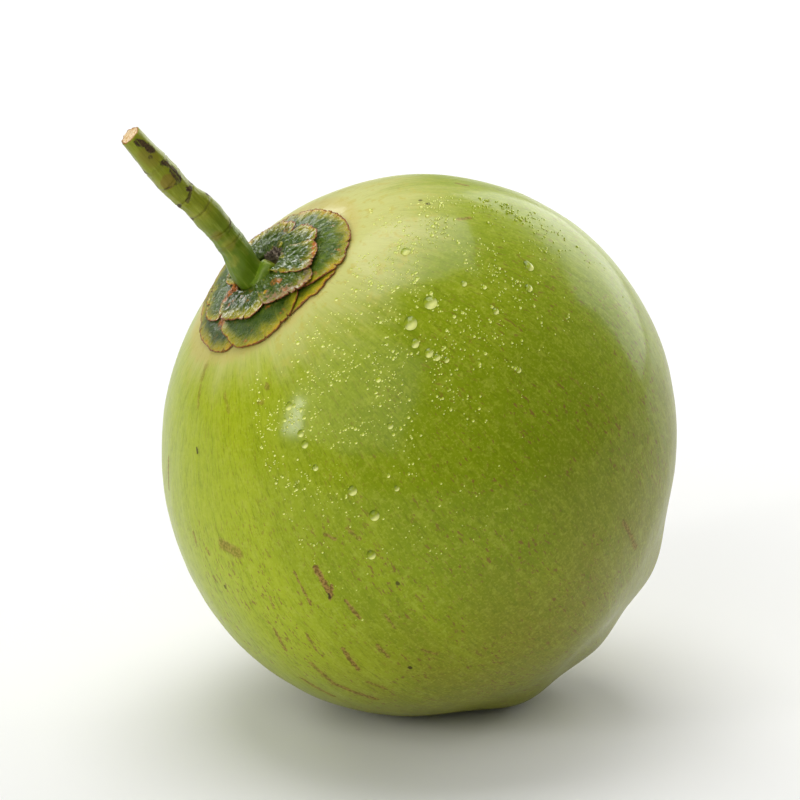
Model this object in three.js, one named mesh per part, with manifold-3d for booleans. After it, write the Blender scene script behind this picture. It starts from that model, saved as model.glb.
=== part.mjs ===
// A young green coconut as picked: the husk, the stalk it hung from, and the leathery scales that
// stay on the fruit round the stalk. It rests leaning over, on a small flat spot under the husk.
// Millimetres, +Z up. The origin is the middle of the resting spot.
import * as THREE from "three";
import { mergeVertices } from "three/addons/utils/BufferGeometryUtils.js";
import Module from "manifold-3d";

const wasm = await Module();
wasm.setup();

const DEGREE = Math.PI / 180;

// The fruit's own frame has its origin inside the husk and +Z along the fruit's axis, to the stalk.
// "Polar" is the angle from that axis and "around" the angle about it, both in degrees.
const HUSK_RADIUS = 85; // of the round body
const STALK_END_SWELL = { height: 0.022, width: 32 }; // the body is fuller round the stalk
const STALK_END_FLAT = { depth: 0.07, width: 18 }; // and flattened just under it
const BLOSSOM_NUB = { height: 0.13, width: 14 }; // the other end draws out to a blunt nub
const NUB_RIDGES = { height: 0.055, from_end: 20, width: 11, around: -130 }; // three ridges on it
const BODY_RIDGES = 0.012; // the same three ridges, fading out over the body
const SLANT = { stretch: 1.068, polar: 54, around: 11 }; // the fruit is longest along a slant

const LEAN = { angle: 40, heading: 195 }; // how far the stalk end leans over, and which way
const CENTRE = new THREE.Vector3(-5, 1, 89.4); // of the fruit's frame, above the resting spot

// The stalk: its middle line in the fruit's frame, and its radius along it from the husk to the cut.
const STALK_LINE = [
  [-4.8, 1.7, 81.5],
  [-5, 1.6, 86.5],
  [-3.4, 2.4, 96.5],
  [-3.4, 2.1, 114.4],
  [-4.4, 0.4, 123.3],
  [-4, -0.8, 150.6],
];
const STALK_RADII = [5.6, 5.2, 4.6, 4.2, 4.1, 3.6];
const SPUR = { x: 0.8, y: 2, bottom: 81.3, top: 85.6, radius: 3.6, lean: 4 }; // stub beside it

// The scales: two rings of three, each scale given by where its sides are around the axis.
const SCALE_INNER = 8.2; // polar angle of the edge by the stalk
const LOWER_SCALES = {
  outer: 22.3,
  clearance: 0.3,
  thickness: 1.1,
  sides: [[224, 306], [308, 432], [434, 582]],
};
const UPPER_SCALES = {
  outer: 14.6,
  clearance: 1.7,
  thickness: 1.1,
  sides: [[179, 277], [279, 385], [387, 537]],
};
const CORNER_CUT = 0.12; // how much a scale draws in at its two outer corners
const BRACT = { polar: [8.6, 10.4], around: [26, 58], bottom: 3.1, top: 6.6 }; // dried scrap

const COLOURS = {
  husk: 0xa5b13a,
  stalk: 0x76812a,
  lower_scale: 0x6b7a2c,
  upper_scale: 0x55692c,
  bract: 0x6f6046,
};

function bell(angle, width) {
  return Math.exp(-((angle / width) ** 2));
}

// The husk skin's distance from the fruit's origin.
function skinRadius(polar, around) {
  const fromEnd = 180 - polar;
  const ridge = (0.5 + 0.5 * Math.cos(3 * (around - NUB_RIDGES.around) * DEGREE)) ** 2;
  const nubRidge = NUB_RIDGES.height * bell(fromEnd - NUB_RIDGES.from_end, NUB_RIDGES.width);
  const taper = Math.sin(fromEnd * DEGREE) / Math.sin(NUB_RIDGES.from_end * DEGREE);
  return HUSK_RADIUS * (
    1
    + STALK_END_SWELL.height * bell(polar, STALK_END_SWELL.width)
    - STALK_END_FLAT.depth * bell(polar, STALK_END_FLAT.width)
    + BLOSSOM_NUB.height * bell(fromEnd, BLOSSOM_NUB.width)
    + ridge * nubRidge * taper
    + ridge * BODY_RIDGES * Math.sin(polar * DEGREE) ** 2
  );
}

// The point a height above the husk's skin.
function overSkin(polar, around, height) {
  const point = new THREE.Vector3();
  return point.setFromSphericalCoords(1, polar * DEGREE, around * DEGREE)
    .set(point.z, point.x, point.y)
    .multiplyScalar(skinRadius(polar, around) + height);
}

// Moves every corner of a geometry and joins the corners that meet, which closes it.
function reshape(geometry, place) {
  const position = geometry.getAttribute("position");
  const corner = new THREE.Vector3();
  for (let i = 0; i < position.count; i++) {
    const moved = place(corner.fromBufferAttribute(position, i));
    position.setXYZ(i, moved.x, moved.y, moved.z);
  }
  geometry.deleteAttribute("normal");
  geometry.deleteAttribute("uv");
  return mergeVertices(geometry, 1e-4);
}

// The fruit is stretched along its slant, leant over and lifted on to its resting spot.
const slantWay = new THREE.Vector3(
  Math.sin(SLANT.polar * DEGREE) * Math.cos(SLANT.around * DEGREE),
  Math.sin(SLANT.polar * DEGREE) * Math.sin(SLANT.around * DEGREE),
  Math.cos(SLANT.polar * DEGREE),
);
const leanWay = new THREE.Vector3(
  Math.sin(LEAN.angle * DEGREE) * Math.cos(LEAN.heading * DEGREE),
  Math.sin(LEAN.angle * DEGREE) * Math.sin(LEAN.heading * DEGREE),
  Math.cos(LEAN.angle * DEGREE),
);
const lean = new THREE.Quaternion().setFromUnitVectors(new THREE.Vector3(0, 0, 1), leanWay);

function toRow(point) {
  const extra = (SLANT.stretch - 1) * point.dot(slantWay);
  return point.clone().addScaledVector(slantWay, extra).applyQuaternion(lean).add(CENTRE);
}

function asManifold(geometry) {
  return new wasm.Manifold(new wasm.Mesh({
    numProp: 3,
    vertProperties: new Float32Array(geometry.getAttribute("position").array),
    triVerts: new Uint32Array(geometry.index.array),
  }));
}

function asGeometry(manifold) {
  const mesh = manifold.getMesh();
  const geometry = new THREE.BufferGeometry();
  geometry.setAttribute("position", new THREE.BufferAttribute(mesh.vertProperties, 3));
  geometry.setIndex(new THREE.BufferAttribute(mesh.triVerts, 1));
  geometry.computeVertexNormals();
  return geometry;
}

const coconut = new THREE.Group();

function addPiece(name, geometry, colour, roughness) {
  geometry.computeVertexNormals();
  const material = new THREE.MeshStandardMaterial({ color: colour, roughness, metalness: 0 });
  const piece = new THREE.Mesh(geometry, material);
  piece.name = name;
  coconut.add(piece);
}

// The husk: a round body worked from a sphere, with its resting spot cut flat.
function makeHusk() {
  const sphere = new THREE.SphereGeometry(1, 60, 38);
  const body = reshape(sphere, (corner) => {
    const polar = Math.acos(THREE.MathUtils.clamp(corner.y, -1, 1)) / DEGREE;
    const around = Math.atan2(corner.x, corner.z) / DEGREE;
    return toRow(overSkin(polar, around, 0));
  });
  const below = new THREE.BoxGeometry(4 * HUSK_RADIUS, 4 * HUSK_RADIUS, HUSK_RADIUS);
  const floor = reshape(below, (corner) => corner.setZ(corner.z - HUSK_RADIUS / 2));
  return asGeometry(asManifold(body).subtract(asManifold(floor)));
}

// The stalk: a tapered round bar bent along its middle line, joined to the short spur beside it.
function makeStalk() {
  const line = new THREE.CatmullRomCurve3(STALK_LINE.map((point) => new THREE.Vector3(...point)));
  const steps = 26;
  const frames = line.computeFrenetFrames(steps, false);
  const bar = new THREE.CylinderGeometry(1, 1, 1, 16, steps);
  const stalk = reshape(bar, (corner) => {
    const along = THREE.MathUtils.clamp(corner.y + 0.5, 0, 1);
    const step = Math.round(along * steps);
    const place = along * (STALK_RADII.length - 1);
    const before = Math.min(Math.floor(place), STALK_RADII.length - 2);
    const radius = THREE.MathUtils.lerp(
      STALK_RADII[before], STALK_RADII[before + 1], place - before);
    return toRow(line.getPoint(along)
      .addScaledVector(frames.normals[step], radius * corner.z)
      .addScaledVector(frames.binormals[step], radius * corner.x));
  });
  const stub = new THREE.CylinderGeometry(SPUR.radius * 0.9, SPUR.radius, 1, 16, 3);
  const spur = reshape(stub, (corner) => {
    const height = (corner.y + 0.5) * (SPUR.top - SPUR.bottom);
    const outward = height * Math.tan(SPUR.lean * DEGREE);
    return toRow(new THREE.Vector3(
      SPUR.x + corner.z + outward, SPUR.y + corner.x, SPUR.bottom + height));
  });
  return asGeometry(asManifold(stalk).add(asManifold(spur)));
}

// A thin piece that lies on the husk: a flat slab whose length, width and height become the
// angle from the stalk, the angle round it and the height over the skin.
function makeScale(polar, around, bottom, top, rows, columns) {
  const slab = new THREE.BoxGeometry(1, 1, 1, rows, columns, 1);
  return reshape(slab, (corner) => {
    const outward = corner.x + 0.5;
    const across = 2 * corner.y;
    const edge = polar[1] * (1 - CORNER_CUT * across ** 6);
    return toRow(overSkin(
      THREE.MathUtils.lerp(polar[0], edge, outward),
      THREE.MathUtils.lerp(around[0], around[1], corner.y + 0.5),
      THREE.MathUtils.lerp(bottom, top, corner.z + 0.5),
    ));
  });
}

function addScales(name, ring, rows, columns, colour) {
  ring.sides.forEach((around, i) => {
    const polar = [SCALE_INNER, ring.outer];
    const top = ring.clearance + ring.thickness;
    const scale = makeScale(polar, around, ring.clearance, top, rows, columns);
    addPiece(`${name}_${i + 1}`, scale, colour, 0.5);
  });
}

addPiece("husk", makeHusk(), COLOURS.husk, 0.38);
addPiece("stalk", makeStalk(), COLOURS.stalk, 0.5);
addScales("lower_scale", LOWER_SCALES, 7, 14, COLOURS.lower_scale);
addScales("upper_scale", UPPER_SCALES, 4, 12, COLOURS.upper_scale);
addPiece(
  "dried_bract",
  makeScale(BRACT.polar, BRACT.around, BRACT.bottom, BRACT.top, 1, 4),
  COLOURS.bract,
  0.8,
);

export default coconut;
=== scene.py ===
"""A young green coconut: husk, stalk, scales, a dried bract and the water drops on its skin."""
import functools
import math
import random

import bmesh
import bpy
from bpy.props import FloatProperty, FloatVectorProperty, IntProperty, PointerProperty
from bpy.types import Operator, Panel, PropertyGroup
from mathutils import Color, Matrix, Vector, noise


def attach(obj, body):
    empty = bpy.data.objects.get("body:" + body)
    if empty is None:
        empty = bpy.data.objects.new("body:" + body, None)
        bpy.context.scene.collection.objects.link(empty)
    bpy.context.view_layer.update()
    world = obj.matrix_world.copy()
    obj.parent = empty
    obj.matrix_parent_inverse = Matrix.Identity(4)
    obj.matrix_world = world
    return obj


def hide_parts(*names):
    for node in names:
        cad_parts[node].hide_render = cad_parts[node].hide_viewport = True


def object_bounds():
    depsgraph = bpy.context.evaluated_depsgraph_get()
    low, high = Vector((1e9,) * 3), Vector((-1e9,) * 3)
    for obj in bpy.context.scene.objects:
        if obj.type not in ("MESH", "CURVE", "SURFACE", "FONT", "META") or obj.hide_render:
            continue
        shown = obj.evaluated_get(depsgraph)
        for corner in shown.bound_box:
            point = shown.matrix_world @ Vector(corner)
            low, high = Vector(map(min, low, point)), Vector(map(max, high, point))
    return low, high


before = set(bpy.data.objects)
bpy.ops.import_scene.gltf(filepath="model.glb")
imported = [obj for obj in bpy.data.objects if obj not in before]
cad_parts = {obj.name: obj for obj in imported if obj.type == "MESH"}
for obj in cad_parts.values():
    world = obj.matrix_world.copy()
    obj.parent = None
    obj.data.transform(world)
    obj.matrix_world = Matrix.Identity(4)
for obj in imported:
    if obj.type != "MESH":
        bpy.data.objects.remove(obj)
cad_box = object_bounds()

bl_info = {
    "name": "Green Coconut",
    "version": (1, 0, 0),
    "blender": (4, 5, 0),
    "location": "View3D > Sidebar > Coconut",
    "description": "Builds a young green coconut with its stalk, scales and water drops",
    "category": "Add Mesh",
}

MM = 0.001

# The fruit's own frame has its origin inside the husk and +Z along the fruit's axis, to the
# stalk. "Polar" is the angle from that axis and "around" the angle about it, both in degrees.
HUSK_RADIUS = 85 * MM
STALK_END_SWELL = (0.022, 32)  # share of the radius, and width in degrees
STALK_END_FLAT = (0.07, 18)
BLOSSOM_NUB = (0.13, 14)
NUB_RIDGES = (0.055, 11)
NUB_RIDGES_FROM_END = 20
RIDGE_AROUND = -130
BODY_RIDGES = 0.012
SLANT_STRETCH = 1.068
SLANT = (54, 11)  # polar and around of the fruit's longest way
LEAN = (40, 195)  # how far the stalk end leans over, and which way
CENTRE = Vector((-5, 1, 89.4)) * MM

# The stalk's middle line in the fruit's frame, from the husk to the cut.
STALK_LINE = [
    Vector(point) * MM
    for point in (
        (-4.8, 1.7, 81.5), (-5, 1.6, 86.5), (-3.4, 2.4, 96.5), (-2.9, 2.1, 111),
        (-4.1, 0.6, 124), (-4.1, -0.7, 149),
    )
]
# The stalk's radius at heights along the fruit's axis; each a height and a radius in millimetres.
STALK_RADII = (
    (81.5, 5.6), (86.5, 5.2), (96.5, 4.6), (101, 4.3), (105, 4.6), (109, 4.9), (113.4, 4.6),
    (118.5, 4.2), (122.5, 4.2), (126, 4.4), (130, 4.6), (136, 4.25), (141.4, 3.95),
    (145, 3.75), (149, 3.6),
)
SPUR_FOOT = Vector((-4.8, -2.9, 80.4))  # the stub beside the stalk, in millimetres
SPUR_TOP = Vector((3.1, -0.2, 83.5))
SPUR_RADIUS = 3.4
CALYX_RADIUS = 84.9  # of the husk's skin under the scales, in millimetres
STEM_MIDDLE = (-2.2, 2.0)  # the scales end in an oval round the stalk and spur
STEM_OVAL = (9.2, 7.4)
GLOSS_TINT = (1.0, 1.0, 0.5, 1.0)  # the gloss on green skin is a little yellow


def srgb(red, green, blue):
    """A colour given in the usual 0 to 255 steps, as the linear numbers that shaders use."""
    return tuple(Color((red / 255, green / 255, blue / 255)).from_srgb_to_scene_linear())


def bell(angle, width):
    """One at zero, and falling off to either side over the width."""
    return math.exp(-((angle / width) ** 2))


def smooth(value):
    """Eases from zero to one as the value does."""
    value = min(max(value, 0.0), 1.0)
    return value * value * (3 - 2 * value)


def lerp(start, end, share):
    return start + (end - start) * share


def direction(polar, around):
    """The way that two angles in degrees point to, in the fruit's frame."""
    polar, around = math.radians(polar), math.radians(around)
    flat = math.sin(polar)
    return Vector((flat * math.cos(around), flat * math.sin(around), math.cos(polar)))


def skin_radius(polar, around):
    """The husk skin's distance from the fruit's origin."""
    from_end = 180 - polar
    ridge = (0.5 + 0.5 * math.cos(math.radians(3 * (around - RIDGE_AROUND)))) ** 2
    nub = NUB_RIDGES[0] * bell(from_end - NUB_RIDGES_FROM_END, NUB_RIDGES[1])
    nub *= math.sin(math.radians(from_end)) / math.sin(math.radians(NUB_RIDGES_FROM_END))
    return HUSK_RADIUS * (
        1
        + STALK_END_SWELL[0] * bell(polar, STALK_END_SWELL[1])
        - STALK_END_FLAT[0] * bell(polar, STALK_END_FLAT[1])
        + BLOSSOM_NUB[0] * bell(from_end, BLOSSOM_NUB[1])
        + ridge * nub
        + ridge * BODY_RIDGES * math.sin(math.radians(polar)) ** 2
    )


def over_skin(polar, around, height=0.0):
    """The point a height above the husk's skin, in the fruit's frame."""
    return direction(polar, around) * (skin_radius(polar, around) + height)


def over_calyx(x, y, height):
    """The same for a place given flat across the fruit's axis, in millimetres."""
    out = math.hypot(x, y)
    polar = math.degrees(math.asin(out / CALYX_RADIUS))
    return over_skin(polar, math.degrees(math.atan2(y, x)), height * MM)


SLANT_WAY = direction(*SLANT)
LEAN_TURN = Vector((0, 0, 1)).rotation_difference(direction(*LEAN))


def to_row(point):
    """From the fruit's frame to where the fruit lies: stretched, leant over and lifted."""
    stretched = point + SLANT_WAY * ((SLANT_STRETCH - 1) * point.dot(SLANT_WAY))
    return LEAN_TURN @ stretched + CENTRE


def line_point(part):
    """The stalk's middle line, a smooth curve through its points, which are evenly numbered."""
    before = STALK_LINE[0] * 2 - STALK_LINE[1]
    after = STALK_LINE[-1] * 2 - STALK_LINE[-2]
    points = [before, *STALK_LINE, after]
    place = min(max(part, 0.0), 1.0) * (len(STALK_LINE) - 1)
    step = min(int(place), len(STALK_LINE) - 2)
    p = points[step:step + 4]
    knots = [0.0]
    for a, b in zip(p, p[1:]):
        knots.append(knots[-1] + math.sqrt((b - a).length))
    t = lerp(knots[1], knots[2], place - step)

    def between(a, b, low, high):
        return a.lerp(b, (t - low) / (high - low))

    a1 = between(p[0], p[1], knots[0], knots[1])
    a2 = between(p[1], p[2], knots[1], knots[2])
    a3 = between(p[2], p[3], knots[2], knots[3])
    b1 = between(a1, a2, knots[0], knots[2])
    b2 = between(a2, a3, knots[1], knots[3])
    return between(b1, b2, knots[1], knots[2])


@functools.cache
def line_part(along):
    """Where on the middle line a share of the stalk's height is reached."""
    height = lerp(STALK_LINE[0].z, STALK_LINE[-1].z, along)
    low, high = 0.0, 1.0
    for _ in range(24):
        middle = (low + high) / 2
        if line_point(middle).z < height:
            low = middle
        else:
            high = middle
    return (low + high) / 2


def stalk_radius(along):
    height = lerp(STALK_RADII[0][0], STALK_RADII[-1][0], along)
    step = 0
    while step < len(STALK_RADII) - 2 and height > STALK_RADII[step + 1][0]:
        step += 1
    (low, start), (high, end) = STALK_RADII[step:step + 2]
    return lerp(start, end, smooth((height - low) / (high - low))) * MM


def stalk_frame(along):
    """The middle line's point, and the two ways across it, at a share of the stalk's height."""
    step = 0.01
    part = line_part(along)
    way = (line_point(part + step) - line_point(part - step)).normalized()
    across = (Vector((1, 0, 0)) - way * way.x).normalized()
    return line_point(part), across, way.cross(across)


def on_stalk(along, around):
    """A place on the stalk's side, in the fruit's frame, in millimetres."""
    middle, across, other = stalk_frame(along)
    turn = math.radians(around)
    side = across * math.cos(turn) + other * math.sin(turn)
    return (middle + side * stalk_radius(along)) / MM


# ---------------------------------------------------------------------------------------------
# Settings


class HuskSettings(PropertyGroup):
    skin: FloatVectorProperty(
        name="Skin", description="Main green of the husk", subtype="COLOR",
        default=srgb(144, 160, 6), min=0, max=1)
    # The deep green on one side of the husk is partly the skin's own tone and partly painted
    # shade.
    deep: FloatVectorProperty(
        name="Deep green", description="Deeper green on the side away from the sun",
        subtype="COLOR", default=srgb(118, 138, 2), min=0, max=1)
    # The light green on one side of the husk is partly the skin's own tone and partly painted
    # light.
    light: FloatVectorProperty(
        name="Light green", description="Yellower green where the husk ripens first",
        subtype="COLOR", default=srgb(176, 190, 38), min=0, max=1)
    halo: FloatVectorProperty(
        name="Halo", description="Pale cream skin next to the scales", subtype="COLOR",
        default=srgb(198, 198, 122), min=0, max=1)
    scar: FloatVectorProperty(
        name="Scars", description="Healed scratches and rubbed spots", subtype="COLOR",
        default=srgb(104, 70, 32), min=0, max=1)
    unevenness: FloatProperty(
        name="Unevenness", description="How far the skin swells and dips", unit="LENGTH",
        default=0.35 * MM, min=0, max=2 * MM)


class StalkSettings(PropertyGroup):
    skin: FloatVectorProperty(
        name="Skin", description="Green of the stalk", subtype="COLOR",
        default=srgb(124, 132, 14), min=0, max=1)
    low: FloatVectorProperty(
        name="Low end", description="Deeper green near the husk", subtype="COLOR",
        default=srgb(88, 116, 6), min=0, max=1)
    cut: FloatVectorProperty(
        name="Cut", description="Fresh wood of the cut end", subtype="COLOR",
        default=srgb(230, 210, 172), min=0, max=1)
    ring: FloatVectorProperty(
        name="Rings", description="Dark scars where bracts and twigs came off",
        subtype="COLOR", default=srgb(38, 24, 16), min=0, max=1)
    ring_height: FloatProperty(
        name="Ring height", description="How far the rings on the stalk stand out",
        unit="LENGTH", default=0.16 * MM, min=0, max=1 * MM)


class ScaleSettings(PropertyGroup):
    inner: FloatVectorProperty(
        name="Leaf green", description="Dark green of the scales", subtype="COLOR",
        default=srgb(50, 82, 4), min=0, max=1)
    outer: FloatVectorProperty(
        name="Rim green", description="Yellow green towards a scale's rim", subtype="COLOR",
        default=srgb(172, 164, 22), min=0, max=1)
    dry: FloatVectorProperty(
        name="Dry rim", description="Red brown of the thin dried rim", subtype="COLOR",
        default=srgb(112, 46, 16), min=0, max=1)
    paper: FloatVectorProperty(
        name="Paper", description="Pale torn skin of the driest scales", subtype="COLOR",
        default=srgb(176, 158, 128), min=0, max=1)
    thickness: FloatProperty(
        name="Thickness", description="Thickness of a scale near the stalk", unit="LENGTH",
        default=0.95 * MM, min=0.3 * MM, max=3 * MM)
    rim_thickness: FloatProperty(
        name="Rim thickness", description="Thickness of a scale's dried rim", unit="LENGTH",
        default=0.24 * MM, min=0.1 * MM, max=2 * MM)


class DropSettings(PropertyGroup):
    mist: IntProperty(
        name="Mist drops", description="Number of the smallest drops", default=2000, min=0)
    mist_size: FloatProperty(
        name="Mist size", description="Usual radius of the smallest drops", unit="LENGTH",
        default=0.27 * MM, min=0.1 * MM, max=2 * MM)


class StageSettings(PropertyGroup):
    floor: FloatVectorProperty(
        name="Floor", description="Colour of the floor", subtype="COLOR",
        default=srgb(232, 232, 230), min=0, max=1)
    elevation: FloatProperty(
        name="Camera elevation", description="How far the camera looks down",
        unit="ROTATION", subtype="ANGLE", default=math.radians(20))
    distance: FloatProperty(
        name="Camera distance", description="From the camera to the fruit", unit="LENGTH",
        default=4.0, min=0.3)
    lens: FloatProperty(
        name="Lens", description="Focal length", unit="CAMERA", default=541.5, min=20)


# ---------------------------------------------------------------------------------------------
# Shader nodes


class Nodes:
    """Adds nodes to a tree. An input given a socket is joined, any other value is set."""

    def __init__(self, tree):
        self.tree = tree
        self.made = 0

    def add(self, kind, inputs=(), **settings):
        node = self.tree.nodes.new("ShaderNode" + kind)
        node.location = (200 * (self.made // 6), -260 * (self.made % 6))
        self.made += 1
        for name, value in settings.items():
            setattr(node, name, value)
        for name, value in dict(inputs).items():
            self.put(node.inputs[name], value)
        return node

    def put(self, socket, value):
        if isinstance(value, bpy.types.NodeSocket):
            self.tree.links.new(value, socket)
        elif socket.type == "RGBA" and len(value) == 3:
            socket.default_value = (*value, 1)
        else:
            socket.default_value = value

    def math(self, operation, *values, clamp=False):
        node = self.add("Math", enumerate(values), operation=operation, use_clamp=clamp)
        return node.outputs[0]

    def vector(self, operation, *values, output="Vector"):
        node = self.add("VectorMath", enumerate(values), operation=operation)
        return node.outputs[output]

    def scale(self, vector, factor):
        node = self.add("VectorMath", {0: vector, "Scale": factor}, operation="SCALE")
        return node.outputs[0]

    def mix(self, factor, first, second):
        node = self.add("Mix", {0: factor, 6: first, 7: second}, data_type="RGBA")
        return node.outputs[2]

    def between(self, value, low, high, start=0.0, end=1.0):
        """Eases from start to end as the value goes from low to high."""
        inputs = {"Value": value, 1: low, 2: high, 3: start, 4: end}
        node = self.add("MapRange", inputs, interpolation_type="SMOOTHSTEP")
        return node.outputs[0]

    def glaze(self, colour, shade, value, low, high, most=1.0):
        """Lays a shade over a colour, more of it as the value goes from low to high."""
        return self.mix(self.between(value, low, high, 0.0, most), colour, shade)

    def noise(self, vector, scale, detail=2.0, roughness=0.5, distortion=0.0):
        inputs = {
            "Vector": vector, "Scale": scale, "Detail": detail, "Roughness": roughness,
            "Distortion": distortion,
        }
        return self.add("TexNoise", inputs).outputs["Fac"]

    def attribute(self, name, output="Vector"):
        return self.add("Attribute", attribute_name=name).outputs[output]

    def group(self, tree, inputs):
        return self.add("Group", inputs, node_tree=tree).outputs

    def combine(self, x, y, z):
        return self.add("CombineXYZ", {0: x, 1: y, 2: z}).outputs[0]


def new_group(name, inputs, outputs):
    """An empty node group with its named inputs and outputs, and the helper that fills it."""
    tree = bpy.data.node_groups.new(name, "ShaderNodeTree")
    for socket_name, (kind, default) in inputs.items():
        socket = tree.interface.new_socket(
            socket_name, in_out="INPUT", socket_type="NodeSocket" + kind)
        if default is not None:
            socket.default_value = default
    for socket_name, kind in outputs.items():
        tree.interface.new_socket(
            socket_name, in_out="OUTPUT", socket_type="NodeSocket" + kind)
    nodes = Nodes(tree)
    source = tree.nodes.new("NodeGroupInput")
    source.location = (-300, 0)
    result = tree.nodes.new("NodeGroupOutput")
    result.location = (1600, 0)
    return tree, nodes, source.outputs, result.inputs


def build_unroll_group():
    """Turns a place in the fruit's frame into angles that run along and round the fruit."""
    tree, nodes, given, result = new_group(
        "Unroll Fruit",
        {"Place": ("Vector", None)},
        {"Unrolled": "Vector", "Polar": "Float"},
    )
    unit = nodes.vector("NORMALIZE", given["Place"])
    parts = nodes.add("SeparateXYZ", {0: unit}).outputs
    polar = nodes.math("ARCCOSINE", parts[2])
    flat = nodes.vector("NORMALIZE", nodes.combine(parts[0], parts[1], 0.0))
    flat_parts = nodes.add("SeparateXYZ", {0: flat}).outputs
    nodes.put(result["Unrolled"], nodes.combine(flat_parts[0], flat_parts[1], polar))
    nodes.put(result["Polar"], nodes.math("DEGREES", polar))
    return tree


def build_streak_group():
    """Long streaks that run from the stalk to the other end."""
    tree, nodes, given, result = new_group(
        "Fibre Streaks",
        {
            "Unrolled": ("Vector", None),
            "Fineness": ("Float", 30.0),
            "Shortness": ("Float", 2.0),
            "Detail": ("Float", 2.0),
        },
        {"Streaks": "Float"},
    )
    parts = nodes.add("SeparateXYZ", {0: given["Unrolled"]}).outputs
    spread = nodes.combine(
        nodes.math("MULTIPLY", parts[0], given["Fineness"]),
        nodes.math("MULTIPLY", parts[1], given["Fineness"]),
        nodes.math("MULTIPLY", parts[2], given["Shortness"]),
    )
    nodes.put(result["Streaks"], nodes.noise(spread, 1.0, given["Detail"], 0.6))
    return tree


def build_mark_group():
    """A mark drawn from one place to another, with a ragged edge. All in millimetres."""
    tree, nodes, given, result = new_group(
        "Skin Mark",
        {
            "Place": ("Vector", None),
            "Start": ("Vector", None),
            "End": ("Vector", None),
            "Half Width": ("Float", 0.5),
            "Soft Edge": ("Float", 0.4),
            "Ragged": ("Float", 0.0),
        },
        {"Mark": "Float"},
    )
    span = nodes.vector("SUBTRACT", given["End"], given["Start"])
    away = nodes.vector("SUBTRACT", given["Place"], given["Start"])
    size = nodes.vector("DOT_PRODUCT", span, span, output="Value")
    reach = nodes.vector("DOT_PRODUCT", away, span, output="Value")
    share = nodes.math("DIVIDE", reach, nodes.math("ADD", size, 1e-6), clamp=True)
    nearest = nodes.vector("SUBTRACT", away, nodes.scale(span, share))
    gap = nodes.vector("LENGTH", nearest, output="Value")
    gap = nodes.math("ADD", gap, given["Ragged"])
    outer = nodes.math("ADD", given["Half Width"], given["Soft Edge"])
    nodes.put(result["Mark"], nodes.between(gap, outer, given["Half Width"]))
    return tree


def build_patch_group():
    """Soft-edged patches strewn over the surface."""
    tree, nodes, given, result = new_group(
        "Patches",
        {
            "Place": ("Vector", None),
            "Scale": ("Float", 0.1),
            "Detail": ("Float", 3.0),
            "From": ("Float", 0.5),
            "To": ("Float", 0.7),
        },
        {"Patches": "Float"},
    )
    spread = nodes.noise(given["Place"], given["Scale"], given["Detail"], 0.6)
    nodes.put(result["Patches"], nodes.between(spread, given["From"], given["To"]))
    return tree


def group_called(name):
    """The shared node group of that name, built the first time it is asked for."""
    builders = {
        "Unroll Fruit": build_unroll_group,
        "Fibre Streaks": build_streak_group,
        "Skin Mark": build_mark_group,
        "Patches": build_patch_group,
    }
    return bpy.data.node_groups.get(name) or builders[name]()


def new_material(name):
    material = bpy.data.materials.new(name)
    material.use_nodes = True
    material.node_tree.nodes.clear()
    nodes = Nodes(material.node_tree)
    output = nodes.add("OutputMaterial")
    output.location = (2400, 0)
    shader = nodes.add("BsdfPrincipled")
    shader.location = (2100, 0)
    material.node_tree.links.new(shader.outputs[0], output.inputs["Surface"])
    return material, nodes, shader


def patches(nodes, place, scale, low, high, detail=3.0):
    return nodes.group(
        group_called("Patches"),
        {"Place": place, "Scale": scale, "From": low, "To": high, "Detail": detail},
    )[0]


def streaks(nodes, unrolled, fineness, shortness, detail=2.0):
    return nodes.group(
        group_called("Fibre Streaks"),
        {"Unrolled": unrolled, "Fineness": fineness, "Shortness": shortness, "Detail": detail},
    )[0]


def marks(nodes, place, ragged, drawn):
    """The strongest of a list of marks: each its two ends, half width, soft edge, strength."""
    total = None
    for start, end, width, edge, strength in drawn:
        mark = nodes.group(
            group_called("Skin Mark"),
            {
                "Place": place, "Start": tuple(start), "End": tuple(end),
                "Half Width": width, "Soft Edge": edge, "Ragged": ragged,
            },
        )[0]
        mark = nodes.math("MULTIPLY", mark, strength)
        total = mark if total is None else nodes.math("MAXIMUM", total, mark)
    return total


def bump(nodes, height, distance, strength=1.0, normal=None):
    inputs = {"Height": height, "Distance": distance, "Strength": strength}
    if normal is not None:
        inputs["Normal"] = normal
    return nodes.add("Bump", inputs).outputs[0]


# ---------------------------------------------------------------------------------------------
# Pieces


def finish_piece(context, name, shape, material, slot, *replaced):
    """Makes the piece's object from its finished shape, hangs it on the root body and hides the
    parts it replaces.
    """
    mesh = bpy.data.meshes.new(name)
    shape.to_mesh(mesh)
    shape.free()
    for polygon in mesh.polygons:
        polygon.use_smooth = True
    mesh.materials.append(material)
    piece = bpy.data.objects.new(name, mesh)
    context.scene.collection.objects.link(piece)
    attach(piece, "root")
    if replaced:
        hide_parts(*replaced)


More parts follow.
